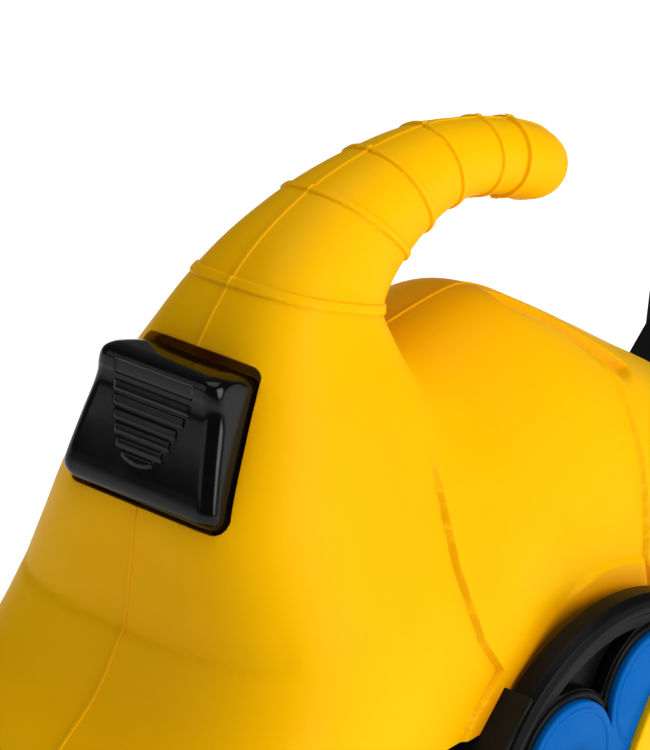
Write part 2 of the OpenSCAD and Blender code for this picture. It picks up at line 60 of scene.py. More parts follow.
# x, crest z, half width
HOOD = [(24, 200, 62), (50, 208, 70), (80, 214, 72.5), (110, 219, 73), (132, 222, 73), (148, 222.5, 73),
        (160, 218.5, 73), (176, 209.5, 73), (197, 197, 73), (219, 183, 72.5), (240, 170, 71), (256, 158, 69),
        (266, 144, 66), (271, 128, 63), (272, 96, 60)]
SCREW_PLACES = [(70, 196), (180, 180), (236, 152)]


def spline_at(rows, u):
    """A point on the smooth curve through rows, at place u."""
    n = len(rows) - 1
    i = min(int(u), n - 1)
    t = u - i
    a, b, c, d = (np.array(rows[j], float) for j in (max(i - 1, 0), i, i + 1, min(i + 2, n)))
    return 0.5 * (2 * b + (c - a) * t + (2 * a - 5 * b + 4 * c - d) * t * t + (3 * b - a - 3 * c + d) * t**3)


def spline(rows, steps):
    return [spline_at(rows, k / steps) for k in range((len(rows) - 1) * steps + 1)]


def signed_pow(v, p):
    return np.sign(v) * np.abs(v) ** p


def ease(lo, hi, v):
    """0 below lo, 1 above hi, smooth between."""
    t = np.clip((v - lo) / (hi - lo), 0, 1)
    return t * t * (3 - 2 * t)


def new_mesh(name, verts, faces):
    """A mesh from points in design millimetres: X from the tower face, Z from the ground."""
    me = bpy.data.meshes.new(name)
    pts = (np.array(verts, float) - (MID, 0, 0)) * MM
    me.from_pydata(pts.tolist(), [], faces)
    me.update()
    return me


def add(name, me, material, body, cad, sharp=35):
    """Puts a finished mesh in the scene as the piece that stands for a CAD node."""
    o = bpy.data.objects.new(name, me)
    bpy.context.scene.collection.objects.link(o)
    me.shade_smooth()
    me.set_sharp_from_angle(angle=math.radians(sharp))
    if material:
        me.materials.clear()
        me.materials.append(material)
    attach(o, body)
    if cad:
        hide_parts(*cad)
    return o


def skin(rings, cap=True):
    """Faces through a row of closed rings with the same number of points."""
    n = len(rings[0])
    faces = []
    for i in range(len(rings) - 1):
        for j in range(n):
            k = (j + 1) % n
            faces.append((i * n + j, i * n + k, (i + 1) * n + k, (i + 1) * n + j))
    if cap:
        last = (len(rings) - 1) * n
        faces.append(tuple(range(n - 1, -1, -1)))
        faces.append(tuple(last + j for j in range(n)))
    return [tuple(p) for r in rings for p in r], faces


def tower_ring(s, count=72):
    c = np.array([(s[0] + s[2]) / 2, (s[1] + s[3]) / 2])
    d = np.array([s[2] - s[0], s[3] - s[1]])
    half = np.linalg.norm(d) / 2
    u = d / (2 * half)
    a = -2 * np.pi * np.arange(count) / count
    along = half * signed_pow(np.cos(a), 2 / s[5])
    side = s[4] * signed_pow(np.sin(a), 2 / s[5])
    return np.stack([c[0] + u[0] * along, side, c[1] + u[1] * along], 1)


def hood_ring(s, count=72):
    a = np.pi * np.arange(count) / (count - 1)
    y = -s[2] * signed_pow(np.cos(a), 2 / 2.15)
    z = 90 + (s[1] - 90) * signed_pow(np.sin(a), 2 / 2.15)
    return np.stack([np.full(count, s[0]), y, z], 1)


def evaluated(me, *settings):
    """The mesh after modifiers given as (type, {setting: value})."""
    o = bpy.data.objects.new("work", me)
    bpy.context.scene.collection.objects.link(o)
    for kind, values in settings:
        m = o.modifiers.new(kind, kind)
        for k, v in values.items():
            setattr(m, k, v)
    made = bpy.data.meshes.new_from_object(o.evaluated_get(bpy.context.evaluated_depsgraph_get()))
    bpy.data.objects.remove(o)
    return made


def coords(me):
    co = np.zeros(len(me.vertices) * 3, np.float32)
    me.vertices.foreach_get("co", co)
    return co.reshape(-1, 3).astype(float) / MM + (MID, 0, 0)


def set_coords(me, co):
    me.vertices.foreach_set("co", ((co - (MID, 0, 0)) * MM).astype(np.float32).ravel())
    me.update()


def soft_union(form_a, form_b, blend, passes):
    """One skin round both forms, with a soft fillet where they meet."""
    va, fa = form_a
    vb, fb = form_b
    both = new_mesh("both", va + vb, fa + [tuple(i + len(va) for i in f) for f in fb])
    me = evaluated(both, ("REMESH", {"mode": "VOXEL", "voxel_size": VOXEL * MM}))
    co = coords(me)
    near = [BVHTree.FromPolygons([Vector(p) for p in v], f) for v, f in (form_a, form_b)]
    hits = [[t.find_nearest(Vector(p)) for p in co] for t in near]
    dist = np.array([[h[3] for h in row] for row in hits])
    place = np.array([[tuple(h[0]) for h in row] for row in hits])
    co = np.where((dist[0] < dist[1])[:, None], place[0], place[1])
    weight = 0.5 * (1 - ease(0.3 * blend, blend, dist.max(0)))
    weight = np.maximum(weight, 0.5 * ease(190, 199, co[:, 0]) * (co[:, 2] > 230))
    edges = np.zeros(len(me.edges) * 2, int)
    me.edges.foreach_get("vertices", edges)
    i, j = edges.reshape(-1, 2).T
    count = np.maximum(np.bincount(i, minlength=len(co)) + np.bincount(j, minlength=len(co)), 1)
    for step in range(passes):
        mean = np.stack([np.bincount(i, co[j, k], len(co)) + np.bincount(j, co[i, k], len(co)) for k in range(3)], 1)
        w = weight if step < 5 else np.where((co[:, 0] > 185) & (co[:, 2] > 230), 0, weight)
        co += w[:, None] * (mean / count[:, None] - co)
    set_coords(me, co)
    return me


def cut(bm, point, normal, where=None, clear=False):
    """Adds an edge line where a plane meets the faces that `where` picks, in design millimetres."""
    co = Vector(((point[0] - MID) * MM, point[1] * MM, point[2] * MM))
    faces = [f for f in bm.faces if where is None or where(f.calc_center_median() / MM + Vector((MID, 0, 0)))]
    edges = {e for f in faces for e in f.edges}
    verts = {v for f in faces for v in f.verts}
    bmesh.ops.bisect_plane(bm, geom=faces + list(edges) + list(verts), dist=2e-6, plane_co=co,
                           plane_no=Vector(normal), clear_outer=clear)


def on_face(p):
    """Place across, up and out of the sloping tower face."""
    x, z = p[..., 0], p[..., 2] - 196
    s, c = math.sin(FACE_TILT), math.cos(FACE_TILT)
    return p[..., 1], s * x + c * z, -c * x + s * z


def plastic(name, colour, rough, grain=0.02, deep=None, wear=0.5, soft=0.0, coat=0.0, shine=0.5, hollow_shade=None):
    """Moulded plastic: uneven tint, fine grain, hazy handling marks and worn, paler edges; given a shade colour, it
    also gets painted shade laid into grooves, steps and recesses.
    """
    mat = bpy.data.materials.new(name)
    mat.use_nodes = True
    nt = mat.node_tree
    nt.nodes.clear()

    def node(kind, **values):
        n = nt.nodes.new(kind)
        for k, v in values.items():
            if k in n.inputs:
                n.inputs[k].default_value = v
            else:
                setattr(n, k, v)
        return n

    def mapped(source, lo, hi, to_lo, to_hi):
        n = node("ShaderNodeMapRange", **{"From Min": lo, "From Max": hi, "To Min": to_lo, "To Max": to_hi})
        nt.links.new(source, n.inputs["Value"])
        return n.outputs["Result"]

    def mixed(factor, a, b):
        n = node("ShaderNodeMix", data_type="RGBA")
        nt.links.new(factor, n.inputs[0])
        for s, v in ((n.inputs[6], a), (n.inputs[7], b)):
            if isinstance(v, tuple):
                s.default_value = (*v, 1)
            else:
                nt.links.new(v, s)
        return n.outputs[2]

    out = node("ShaderNodeOutputMaterial")
    bsdf = node("ShaderNodeBsdfPrincipled")
    place = node("ShaderNodeTexCoord").outputs["Object"]
    noises = {}
    for key, scale, detail in (("tint", 14.0, 3.0), ("haze", 60.0, 5.0), ("grain", 1500.0, 2.0), ("wave", 90.0, 1.0)):
        n = node("ShaderNodeTexNoise", Scale=scale, Detail=detail)
        nt.links.new(place, n.inputs["Vector"])
        noises[key] = n.outputs["Fac"]
    deep = deep or tuple(0.86 * c for c in colour)
    tint = mixed(mapped(noises["tint"], 0.35, 0.65, 0.0, 0.6), colour, deep)
    point = node("ShaderNodeNewGeometry").outputs["Pointiness"]
    edge = mapped(point, 0.52, 0.62, 0.0, wear)
    pale = tuple(min(1.0, c * 1.25 + 0.03) for c in colour)
    worn_and_shaded = mixed(edge, tint, pale)
    # Painted shade: ambient occlusion pulls the colour towards the given shade colour in grooves, steps, fillets and
    # recesses.
    if hollow_shade:
        near = node("ShaderNodeAmbientOcclusion", Distance=0.012)
        nt.links.new(worn_and_shaded, near.inputs["Color"])
        worn_and_shaded = mixed(mapped(near.outputs["AO"], 0.55, 0.95, 0.8, 0.0), worn_and_shaded, hollow_shade)
    nt.links.new(worn_and_shaded, bsdf.inputs["Base Color"])
    base_rough = mapped(noises["haze"], 0.3, 0.7, rough - 0.05, rough + 0.07)
    nt.links.new(base_rough, bsdf.inputs["Roughness"])
    bump = node("ShaderNodeBump", Strength=1.0, Distance=grain * MM)
    nt.links.new(noises["grain"], bump.inputs["Height"])
    wave = node("ShaderNodeBump", Strength=1.0, Distance=0.06 * MM)
    nt.links.new(noises["wave"], wave.inputs["Height"])
    nt.links.new(bump.outputs["Normal"], wave.inputs["Normal"])
    nt.links.new(wave.outputs["Normal"], bsdf.inputs["Normal"])
    bsdf.inputs["IOR"].default_value = 1.5
    bsdf.inputs["Specular IOR Level"].default_value = shine
    if soft:
        bsdf.inputs["Subsurface Weight"].default_value = soft
        bsdf.inputs["Subsurface Radius"].default_value = (1.0, 0.45, 0.08)
        bsdf.inputs["Subsurface Scale"].default_value = 0.003
    if coat:
        bsdf.inputs["Coat Weight"].default_value = coat
        bsdf.inputs["Coat Roughness"].default_value = 0.12
    nt.links.new(bsdf.outputs["BSDF"], out.inputs["Surface"])
    return mat


# The yellow body gets painted shade: a deeper orange laid into its grooves, steps and fillets where surfaces crowd
# close.
yellow = plastic("yellow_body", (0.93, 0.53, 0.0), 0.40, grain=0.012, deep=(0.90, 0.49, 0.0), wear=0.1, soft=0.06,
                 shine=0.07, hollow_shade=(0.85, 0.32, 0.0))

tower = skin([tower_ring(s) for s in spline(TOWER, 6)])
hood = skin([hood_ring(s) for s in spline(HOOD, 6)])
body = soft_union(tower, hood, 13, 140)
bm = bmesh.new()
bm.from_mesh(body)
cut(bm, (0, 0, SEAM_Z), (0, 0, -1), clear=True)
cut(bm, (0, 0, 0), (0, 1, 0), clear=True)
for y in (-0.4, -0.8):
    cut(bm, (0, y, 0), (0, 1, 0), lambda c: c.y > -4)
# raised rings round the hooked handle: place along the tower list, half width, height
RINGS = [(9.1, 1.2, 0.75), (10.9, 0.9, 0.8), (11.95, 0.9, 0.85), (13.0, 0.9, 0.85), (14.2, 0.9, 0.8), (15.0, 1.4, 1.1)]
ring_planes = []
for u, half, high in RINGS:
    s = spline_at(TOWER, u)
    d = np.array([s[2] - s[0], 0, s[3] - s[1]])
    d /= np.linalg.norm(d)
    c = np.array([(s[0] + s[2]) / 2, 0, (s[1] + s[3]) / 2])
    n = np.array([-d[2], 0, d[0]])
    reach = np.hypot(s[2] - s[0], s[3] - s[1]) / 2 + 4
    ring_planes.append((c, n, reach, half, high))
    for off in (-half - 0.6, -half, half, half + 0.6):
        cut(bm, c + n * off, n, lambda p, c=c, n=n, r=reach: abs((p - Vector(c)).dot(Vector(n))) < 5
            and (p - Vector(c)).length < r + 20 and p.z > 226)
# opening in the tower face, with a rounded lower corner
side_n = np.array([-51.0, 10.5]) / math.hypot(51.0, 10.5)
LIMITS = [(0, -1.0, 0, -1), (0, 50.5, 0, 1), (-34.5, -1, side_n[0], side_n[1])]
for cu, cv, r, angles in ((-27.6, 4.6, 5.6, (-170, -148, -125, -104)), (-20.7, 46.6, 3.9, (168, 146, 124, 104))):
    for ang in angles:
        nu, nv = math.cos(math.radians(ang)), math.sin(math.radians(ang))
        LIMITS.append((cu + r * nu, cv + r * nv, nu, nv))
s, c = math.sin(FACE_TILT), math.cos(FACE_TILT)


def near_opening(p):
    u, v, n = on_face(np.array(p))
    return -8 < v < 56 and u > -40 and n > -16 and p.x < 60


for u, v, nu, nv in LIMITS:
    cut(bm, (s * v, u, 196 + c * v), (s * nv, nu, c * nv), near_opening)
gone = []
for f in bm.faces:
    p = f.calc_center_median() / MM + Vector((MID, 0, 0))
    if near_opening(p):
        u, v, n = on_face(np.array(p))
        if all((u - a) * nu + (v - b) * nv < 0.01 for a, b, nu, nv in LIMITS):
            gone.append(f)
bmesh.ops.delete(bm, geom=gone, context="FACES")
# slot in the front of the hood for the pull rod
for point, normal in (((0, 0, 116), (0, 0, 1)), ((0, 0, 140), (0, 0, 1)), ((0, -7, 0), (0, 1, 0))):
    cut(bm, point, normal, lambda p: p.x > 245 and p.y > -16 and 106 < p.z < 150)
gone = []
for f in bm.faces:
    p = f.calc_center_median() / MM + Vector((MID, 0, 0))
    if p.x > 245 and p.y > -7 and 116 < p.z < 140:
        gone.append(f)
bmesh.ops.delete(bm, geom=gone, context="FACES")
# stepped side panel, and the pad over the wheel
PANEL_EDGE = [(79.5, 204), (77.3, 193.7), (76.2, 187.5), (74.7, 177.4), (73.7, 167.2), (74.6, 156.2), (77.1, 144.3),
              (84.4, 131.5), (70, 120), (64, 110)]
ARCH = [(px, 144 - (px - 143) ** 2 / 90) for px in range(124, 165, 4)]
FRONT = [(164.5, 100), (164.5, 139), (176.4, 173), (188, 206)]
GROOVE = np.array([(158, -8, 216), (167, -10, 213), (178, -14, 206.5), (187, -23, 198.5), (196, -32, 188.5)])


def score(path, half_w):
    """Edge lines on both sides of a path on the flank, so that a step along it is crisp."""
    pool = {f for f in bm.faces if f.calc_center_median().y < -0.035 and f.normal.y < -0.2}
    for (ax, az), (bx, bz) in zip(path[:-1], path[1:]):
        long = math.hypot(bx - ax, bz - az)
        ux, uz = (bx - ax) / long, (bz - az) / long
        near = []
        for off in (-half_w, half_w):
            for f in pool:
                p = f.calc_center_median() / MM
                dx, dz = p.x + MID - ax, p.z - az
                if -2 < dx * ux + dz * uz < long + 2 and abs(dx * uz - dz * ux) < 4:
                    near.append(f)
            edges = {e for f in near for e in f.edges}
            verts = {v for f in near for v in f.verts}
            at = Vector(((ax + uz * off - MID) * MM, 0, (az - ux * off) * MM))
            made = bmesh.ops.bisect_plane(bm, geom=list(set(near)) + list(edges) + list(verts), dist=2e-6,
                                          plane_co=at, plane_no=Vector((uz, 0, -ux)))
            pool |= {g for g in made["geom"] if isinstance(g, bmesh.types.BMFace)}
            near = []


bm.normal_update()
for path in (PANEL_EDGE, ARCH, FRONT):
    score(path, 0.8)


def beside_groove(p):
    """Nearest distance to the groove's line, distance across it and past its ends."""
    best = np.full(len(p), 1e9)
    across = np.zeros(len(p))
    past = np.zeros(len(p))
    last = len(GROOVE) - 2
    for i, (a, b) in enumerate(zip(GROOVE[:-1], GROOVE[1:])):
        long = np.linalg.norm(b - a)
        t = (b - a) / long
        along = (p - a) @ t
        foot = a + np.clip(along, 0, long)[:, None] * t
        dist = np.linalg.norm(p - foot, axis=1)
        side = np.cross((0.55, -0.25, 0.8), t)
        side /= np.linalg.norm(side)
        over = np.maximum(-along if i == 0 else 0, along - long if i == last else 0)
        closer = dist < best
        best = np.where(closer, dist, best)
        across = np.where(closer, (p - a) @ side, across)
        past = np.where(closer, over, past)
    return best, across, past


middle = np.array([tuple(f.calc_center_median()) for f in bm.faces]) / MM + (MID, 0, 0)
best, across, past = beside_groove(middle)
bm.faces.ensure_lookup_table()
close = [bm.faces[i] for i in np.flatnonzero((best < 9) & (across > -6))]
bmesh.ops.subdivide_edges(bm, edges=list({e for f in close for e in f.edges}), cuts=1, use_grid_fill=True)
bmesh.ops.remove_doubles(bm, verts=bm.verts, dist=0.05 * MM)
half = bpy.data.meshes.new("half")
bm.normal_update()
bm.to_mesh(half)
bm.free()
co = coords(half)
nor = np.array([tuple(v.normal) for v in half.vertices])
x, y, z = co.T
# fine parting line
bead = 0.5 * (1 - ease(0.4, 0.8, -y)) * (1 - ease(215, 235, x))
push = nor * bead[:, None]
for centre, n, reach, half_w, high in ring_planes:
    away = (co - centre) @ n
    mask = (np.linalg.norm(co - centre, axis=1) < reach + 14) & (z > 226) & (np.abs(away) < 5)
    push += nor * (high * mask * (1 - ease(half_w - 0.1, half_w + 0.6, np.abs(away))))[:, None]
# steps of the side
edge_x = np.interp(-z, [-p[1] for p in PANEL_EDGE], [p[0] for p in PANEL_EDGE])
side = ease(0.25, 0.6, -nor[:, 1]) * (z < 232)
panel = 2.1 * ease(-0.95, 0.95, x - edge_x) * (1 - ease(186, 208, z)) * (1 - ease(96, 128, x))
panel *= ease(51, 58, np.abs(y) + 0.15 * np.maximum(z - 130, 0))
arch = 144 - (x - 143) ** 2 / 90
pad = 1.6 * ease(-0.95, 0.95, arch - z) * ease(122, 131, x) * (1 - ease(163, 165, x))
front = 1.6 * ease(-0.95, 0.95, x - 164.5 - 0.35 * np.maximum(z - 139, 0)) * (z > 100)
push[:, 1] -= side * (panel + np.maximum(pad, front * (1 - ease(188, 206, z))))
# kink across the rear face
push[:, 0] += 0.9 * ease(154.4, 157, z) * (1 - ease(158, 173, z)) * ease(0.45, 0.7, -nor[:, 0])
co = co + push
# groove across the hood: a long slope down to it and a steep far wall
best, across, past = beside_groove(co)
deep = 3.4 * ease(-15, -2, across) * (1 - ease(0.4, 2.8, across)) * (1 - ease(0.5, 5, past)) * (best < 17)
co -= nor * deep[:, None]
co[:, 1] = np.maximum(co[:, 1], -75.0)
co[:, 1] = np.minimum(co[:, 1], -0.02)
set_coords(half, co)


def screw_holes(me, side):
    """Round holes in the left flank, where the screws go in."""
    bm = bmesh.new()
    bm.from_mesh(me)
    for px, pz in SCREW_PLACES:
        axis = Vector(((px - MID) * MM, 0, pz * MM))
        for v in bm.verts:
            d = v.co - axis
            if v.co.y > 0.03 and math.hypot(d.x, d.z) < 9 * MM:
                far = math.hypot(d.x, d.z)
                if 4.7 * MM < far < 6.5 * MM:
                    v.co.x = axis.x + d.x * 5.6 * MM / far
                    v.co.z = axis.z + d.z * 5.6 * MM / far
        gone = [f for f in bm.faces if f.calc_center_median().y > 0.03 and all(
            math.hypot(v.co.x - axis.x, v.co.z - axis.z) < 5.62 * MM for v in f.verts)]
        bmesh.ops.delete(bm, geom=gone, context="FACES")
    bm.to_mesh(me)
    bm.free()


def tube(x, z, y0, y1, r_out, r_in, blind):
    """Rings of a screw tube across the hollow."""
    a = 2 * np.pi * np.arange(32) / 32
    prof = [(r_in, y1 - blind), (r_in, y1), (r_in + 0.4, y1), (r_out - 0.4, y1), (r_out, y1 - 0.4), (r_out, y0)]
    rings = [np.stack([x + r * np.cos(a), np.full(32, yy), z + r * np.sin(a)], 1) for r, yy in prof]
    if y1 < y0:
        rings = [r[::-1] for r in rings]
    return skin(rings, cap=False)


for name, sign in (("right_body_half", -1), ("left_body_half", 1)):
    me = half.copy()
    if sign > 0:
        co = coords(me)
        co[:, 1] *= -1
        set_coords(me, co)
        me.flip_normals()
        screw_holes(me, 1)
    shell = evaluated(me, ("SOLIDIFY", {"thickness": WALL * MM, "offset": -1, "use_even_offset": False, "use_rim": True}),
                      ("BEVEL", {"width": 0.45 * MM, "segments": 2, "limit_method": "ANGLE",
                                 "angle_limit": math.radians(62), "use_clamp_overlap": True}))
    bm = bmesh.new()
    bm.from_mesh(shell)
    for px, pz in SCREW_PLACES:
        v, f = tube(px, pz, 0.05 * sign, 44 * sign, 6.5, 3.2 if sign > 0 else 2.5, (43.9 if sign > 0 else 12) * sign)
        bm.from_mesh(new_mesh("tube", v, f))
    bm.to_mesh(shell)
    bm.free()
    cad = "right_shell" if sign < 0 else "left_shell"
    add(name, shell, yellow, "body", [cad], sharp=38)

# ---- Thumb lever ----
# Glossy black injection moulding in the opening of the tower. It has a lip at the top with a
# shallow recessed panel, and six raised ribs below it that narrow like a shield.
LEVER_RISE = [(0.3, 0.6), (0.9, 2.7), (3.0, 4.5), (7, 5.8), (12, 7.0), (20, 8.7), (27, 10.0), (31, 10.9), (34, 12.1),
              (36, 13.5), (38.6, 14.7), (41, 14.5), (43.2, 11.8), (44.9, 7.8), (46.6, 3), (47.6, -0.5)]
LEVER_RIBS = [(31.2, 15.8), (27.2, 14.8), (23.3, 13.2), (19.5, 11.7), (15.6, 9.7), (11.9, 6.6)]
EDGE_R = 5.2
BACK_N = -6.2

side_view = np.array(spline(LEVER_RISE, 14))
v, n = side_view.T
half_w = 33 - 9.6 * np.clip(v / 48, 0, 1)
half_w -= 5 - np.sqrt(25 - np.clip(5.3 - v, 0, 5) ** 2)
half_w -= 4 - np.sqrt(16 - np.clip(v - 43.6, 0, 4) ** 2)
corner = EDGE_R * (1 - np.cos(np.linspace(0, np.pi / 2, 12)))
drop = EDGE_R - np.sqrt(np.maximum(EDGE_R**2 - (EDGE_R - corner) ** 2, 0))
inner = np.linspace(-1, 1, 112)[1:-1]
columns = [(half_w - c, d) for c, d in zip(corner, drop)] + [(-a * (half_w - EDGE_R), 0) for a in inner]
columns += [(-(half_w - c), d) for c, d in zip(corner[::-1], drop[::-1])]
rings = []
for u, down in columns:
    flat = (n > 4.5) & (v > 3) & (v < 41)
    lift = np.zeros(len(v))
    for rib_v, rib_half in LEVER_RIBS:
        low = rib_v - 1.35 + (0.035 * u**2 if rib_half < 7 else 0)
        along = 1 - ease(rib_half - 0.6, rib_half, np.abs(u))
        lift += 0.45 * along * ease(-0.25, 0.25, v - low) * (1 - ease(-0.25, 0.25, v - rib_v - 1.35))
    lift -= 0.55 * (1 - ease(15.8, 16.3, np.abs(u))) * ease(34.3, 34.7, v) * (1 - ease(38.3, 38.7, v))
    out = n - down + lift * flat
    st, ct = math.sin(FACE_TILT), math.cos(FACE_TILT)
    uu = np.concatenate([u, u[::-8]])
    vv = np.concatenate([v, v[::-8]])
    nn = np.concatenate([out, np.full(len(v[::-8]), BACK_N)])
    rings.append(np.stack([st * vv - ct * nn, uu, 196 + ct * vv + st * nn], 1))
verts, faces = skin(rings, cap=False)
rows, per_ring = len(v), len(rings[0])
for base in (0, (len(rings) - 1) * per_ring):
    for i in range(rows - 1, 0, -1):
        back = rows + (rows - 1 - i) // 8
        faces.append((base + i, base + i - 1, base + back))
        if (rows - i) // 8 != (rows - 1 - i) // 8:
            faces.append((base + i - 1, base + back, base + back + 1))
lever_mesh = new_mesh("lever", verts, faces)
bm = bmesh.new()
bm.from_mesh(lever_mesh)
bmesh.ops.recalc_face_normals(bm, faces=bm.faces)
bm.to_mesh(lever_mesh)
bm.free()
gloss = plastic("gloss_black", (0.002, 0.0018, 0.002), 0.13, grain=0.003, wear=0.05, coat=0.1, shine=0.3)
add("thumb_lever", lever_mesh, gloss, "thumb_lever", ["lever"], sharp=45)

# ---- Big wheels ----
# Black tyre and disc in one moulding, with pockets round the petals of the hub. The blue hub has
# five round petals with a fine bead, and a yellow cap with five arms is clipped into it.
WHEEL_X, WHEEL_Z, WHEEL_R = 131, 70, 70
FACE_Y, TYRE_W = 86.5, 11
DISC_AT = [(37 * math.cos(math.radians(a)), 37 * math.sin(math.radians(a))) for a in (66, 138, 210, 282, 354)]
ARM_AT = [(35 * math.cos(math.radians(a)), 35 * math.sin(math.radians(a))) for a in (63, 135, 207, 279, 351)]


def rounded(points, radius, steps=5):
    """A closed outline with its corners rounded; a third number in a point is its own radius."""
    out = []
    n = len(points)
    for i in range(n):
        a, b, c = (np.array(points[(i + k) % n][:2], float) for k in (-1, 0, 1))
        r = points[i][2] if len(points[i]) > 2 else radius
        u, v = a - b, c - b
        lu, lv = np.linalg.norm(u), np.linalg.norm(v)
        u, v = u / lu, v / lv
        ang = math.acos(np.clip(u @ v, -1, 1))
        if r <= 0 or ang > math.radians(176):
            out.append(b)
            continue
        back = min(r / math.tan(ang / 2), 0.48 * lu, 0.48 * lv)
        p, q = b + u * back, b + v * back
        for k in range(steps + 1):
            t = k / steps
            out.append((1 - t) ** 2 * p + 2 * t * (1 - t) * b + t * t * q)
    return np.array(out)


def turned(profile, count, origin, axis=(0, 1, 0), start=(1, 0, 0)):
    """Verts and faces of a closed (radius, height) outline turned about an axis."""
    w = np.array(axis, float)
    w /= np.linalg.norm(w)
    u = np.array(start, float)
    u -= w * (u @ w)
    u /= np.linalg.norm(u)
    v = np.cross(w, u)
    rings = []
    for k in range(count):
        a = 2 * math.pi * k / count
        d = u * math.cos(a) + v * math.sin(a)
        rings.append([np.array(origin) + d * r + w * h for r, h in profile])
    verts = [tuple(p) for r in rings for p in r]
    n = len(profile)
    faces = []
    for i in range(count):
        for j in range(n):
            k, m = (j + 1) % n, (i + 1) % count
            faces.append((i * n + j, m * n + j, m * n + k, i * n + k))
    return verts, faces


def slab(outlines, y0, y1, origin, edge=0.5, axis_sign=1):
    """Verts and faces of a flat moulding with holes and rounded edges, drawn in X and Z."""
    cu = bpy.data.curves.new("slab", "CURVE")
    cu.dimensions = "2D"
    cu.fill_mode = "BOTH"
    cu.extrude = (y1 - y0) / 2 * MM - edge * MM
    cu.bevel_depth = edge * MM
    cu.bevel_resolution = 2
    cu.offset = -edge * MM
    for line in outlines:
        sp = cu.splines.new("POLY")
        sp.points.add(len(line) - 1)
        for p, (px, pz) in zip(sp.points, line):
            p.co = (px * MM, pz * MM, 0, 1)
        sp.use_cyclic_u = True
    o = bpy.data.objects.new("slab", cu)
    bpy.context.scene.collection.objects.link(o)
    me = bpy.data.meshes.new_from_object(o.evaluated_get(bpy.context.evaluated_depsgraph_get()))
    bpy.data.objects.remove(o)
    co = np.array([tuple(v.co) for v in me.vertices]) / MM
    pts = np.stack([origin[0] + co[:, 0], (y0 + y1) / 2 + co[:, 2], origin[1] + co[:, 1]], 1)
    return [tuple(p) for p in pts], [tuple(reversed(p.vertices)) for p in me.polygons]


def joined(name, *parts):
    """One mesh from several closed parts, with all faces turned outwards."""
    verts, faces = [], []
    for v, f in parts:
        faces += [tuple(i + len(verts) for i in face) for face in f]
        verts += list(v)
    me = new_mesh(name, verts, faces)
    bm = bmesh.new()
    bm.from_mesh(me)
    bmesh.ops.remove_doubles(bm, verts=bm.verts, dist=0.004 * MM)
    bmesh.ops.recalc_face_normals(bm, faces=bm.faces)
    bm.to_mesh(me)
    bm.free()
    return me


def outline_from(centre, inside, count=120, far=80):
    """The outline round a centre of the area where inside(x, z) is negative."""
    out = []
    for k in range(count):
        a = 2 * math.pi * k / count
        lo, hi = 0.0, far
        step = 0.5
        t = 0.0
        while t < far and inside(centre[0] + t * math.cos(a), centre[1] + t * math.sin(a)) < 0:
            t += step
        lo, hi = max(t - step, 0), t
        for _ in range(12):
            m = (lo + hi) / 2
            if inside(centre[0] + m * math.cos(a), centre[1] + m * math.sin(a)) < 0:
                lo = m
            else:
                hi = m
        out.append((centre[0] + lo * math.cos(a), centre[1] + lo * math.sin(a)))
    return out


def soft_max(values, k):
    values = np.array(values)
    top = values.max()
    return top + k * math.log(np.exp((values - top) / k).sum())


def pocket(px, pz):
    """Below zero inside one of the wheel's pockets."""
    r = math.hypot(px, pz)
    limits = [r - 61, 30 - r]
    limits += [25.0 - math.hypot(px - a, pz - b) for a, b in DISC_AT]
    return soft_max(limits, 0.5)


def circle(r, count=96, centre=(0, 0)):
    return [(centre[0] + r * math.cos(2 * math.pi * k / count), centre[1] + r * math.sin(2 * math.pi * k / count))
            for k in range(count)]


tyre_black = plastic("tyre_black", (0.007, 0.0068, 0.0072), 0.36, grain=0.02, deep=(0.005, 0.0045, 0.0045), wear=0.1, shine=0.13)
blue = plastic("blue_satin", (0.0, 0.15, 0.46), 0.3, grain=0.008, deep=(0.0, 0.13, 0.42), wear=0.1, shine=0.06)
cap_yellow = plastic("cap_yellow", (0.93, 0.53, 0.0), 0.33, grain=0.008, deep=(0.90, 0.49, 0.0), wear=0.1, shine=0.1)
origin = (WHEEL_X, 0, WHEEL_Z)
BACK_Y = FACE_Y - TYRE_W
tyre = [(61, BACK_Y + 1.5, 0.5), (64, BACK_Y + 0.4, 0.6), (68.4, BACK_Y, 1.0), (70, BACK_Y + 1.6, 1.0),
        (70, FACE_Y - 3.4, 1.6), (68.6, FACE_Y - 0.9, 1.4), (66.2, FACE_Y, 1.0), (64.6, FACE_Y, 0.6),
        (63.6, FACE_Y - 1.2, 0.6), (59.6, FACE_Y - 1.4, 0.2), (59.6, BACK_Y + 3, 0.3)]
pockets = []
for a in (30, 102, 174, 246, 318):
    centre = (54 * math.cos(math.radians(a)), 50 * math.sin(math.radians(a)))
    if pocket(*centre) < -2:
        pockets.append(outline_from(centre, pocket))
arm = lambda px, pz: -soft_max([14 - math.hypot(px, pz)] + [
    7 - 2.9 * t - math.hypot(px - t * a, pz - t * b) for a, b in ARM_AT for t in (0.4, 0.55, 0.7, 0.85, 1.0)], 0.7)
petals = lambda px, pz: -soft_max([29.6 - math.hypot(px, pz)] + [21.6 - math.hypot(px - a, pz - b) for a, b in DISC_AT], 0.3)
